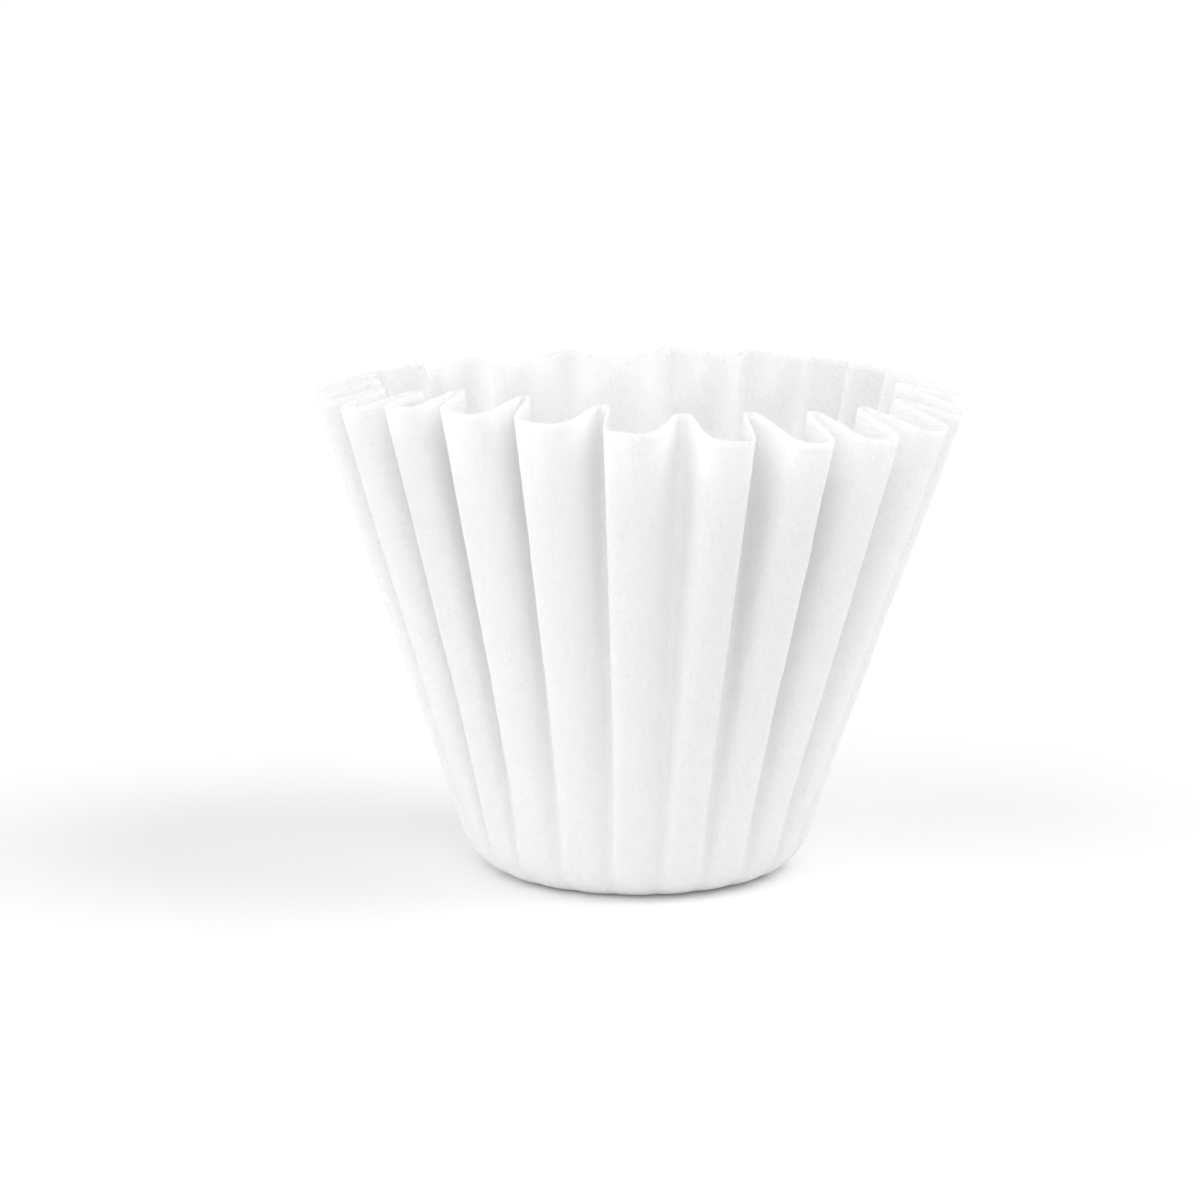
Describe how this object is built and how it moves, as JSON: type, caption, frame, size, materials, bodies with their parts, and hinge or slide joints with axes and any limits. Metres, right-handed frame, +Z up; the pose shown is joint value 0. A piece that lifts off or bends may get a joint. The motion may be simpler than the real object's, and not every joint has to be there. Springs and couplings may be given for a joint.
{
  "type": "paper coffee filter",
  "caption": "Pleated, flat-bottomed paper coffee filter: a white fluted paper cup that stands on its round floor and holds ground coffee in a dripper or basket",
  "frame": {"origin": "middle of the underside of the round floor, on the surface the filter stands on", "axes": "+Z up out of the mouth, -Y towards the front, +X to the right; the floor's outward face looks along -Z"},
  "size_m": [0.0915, 0.0904, 0.0708],
  "materials": {
    "white_paper": "matte, fine crepe grain"
  },
  "bodies": {
    "root": {"filter_paper": "white_paper"}
  },
  "joints": []
}
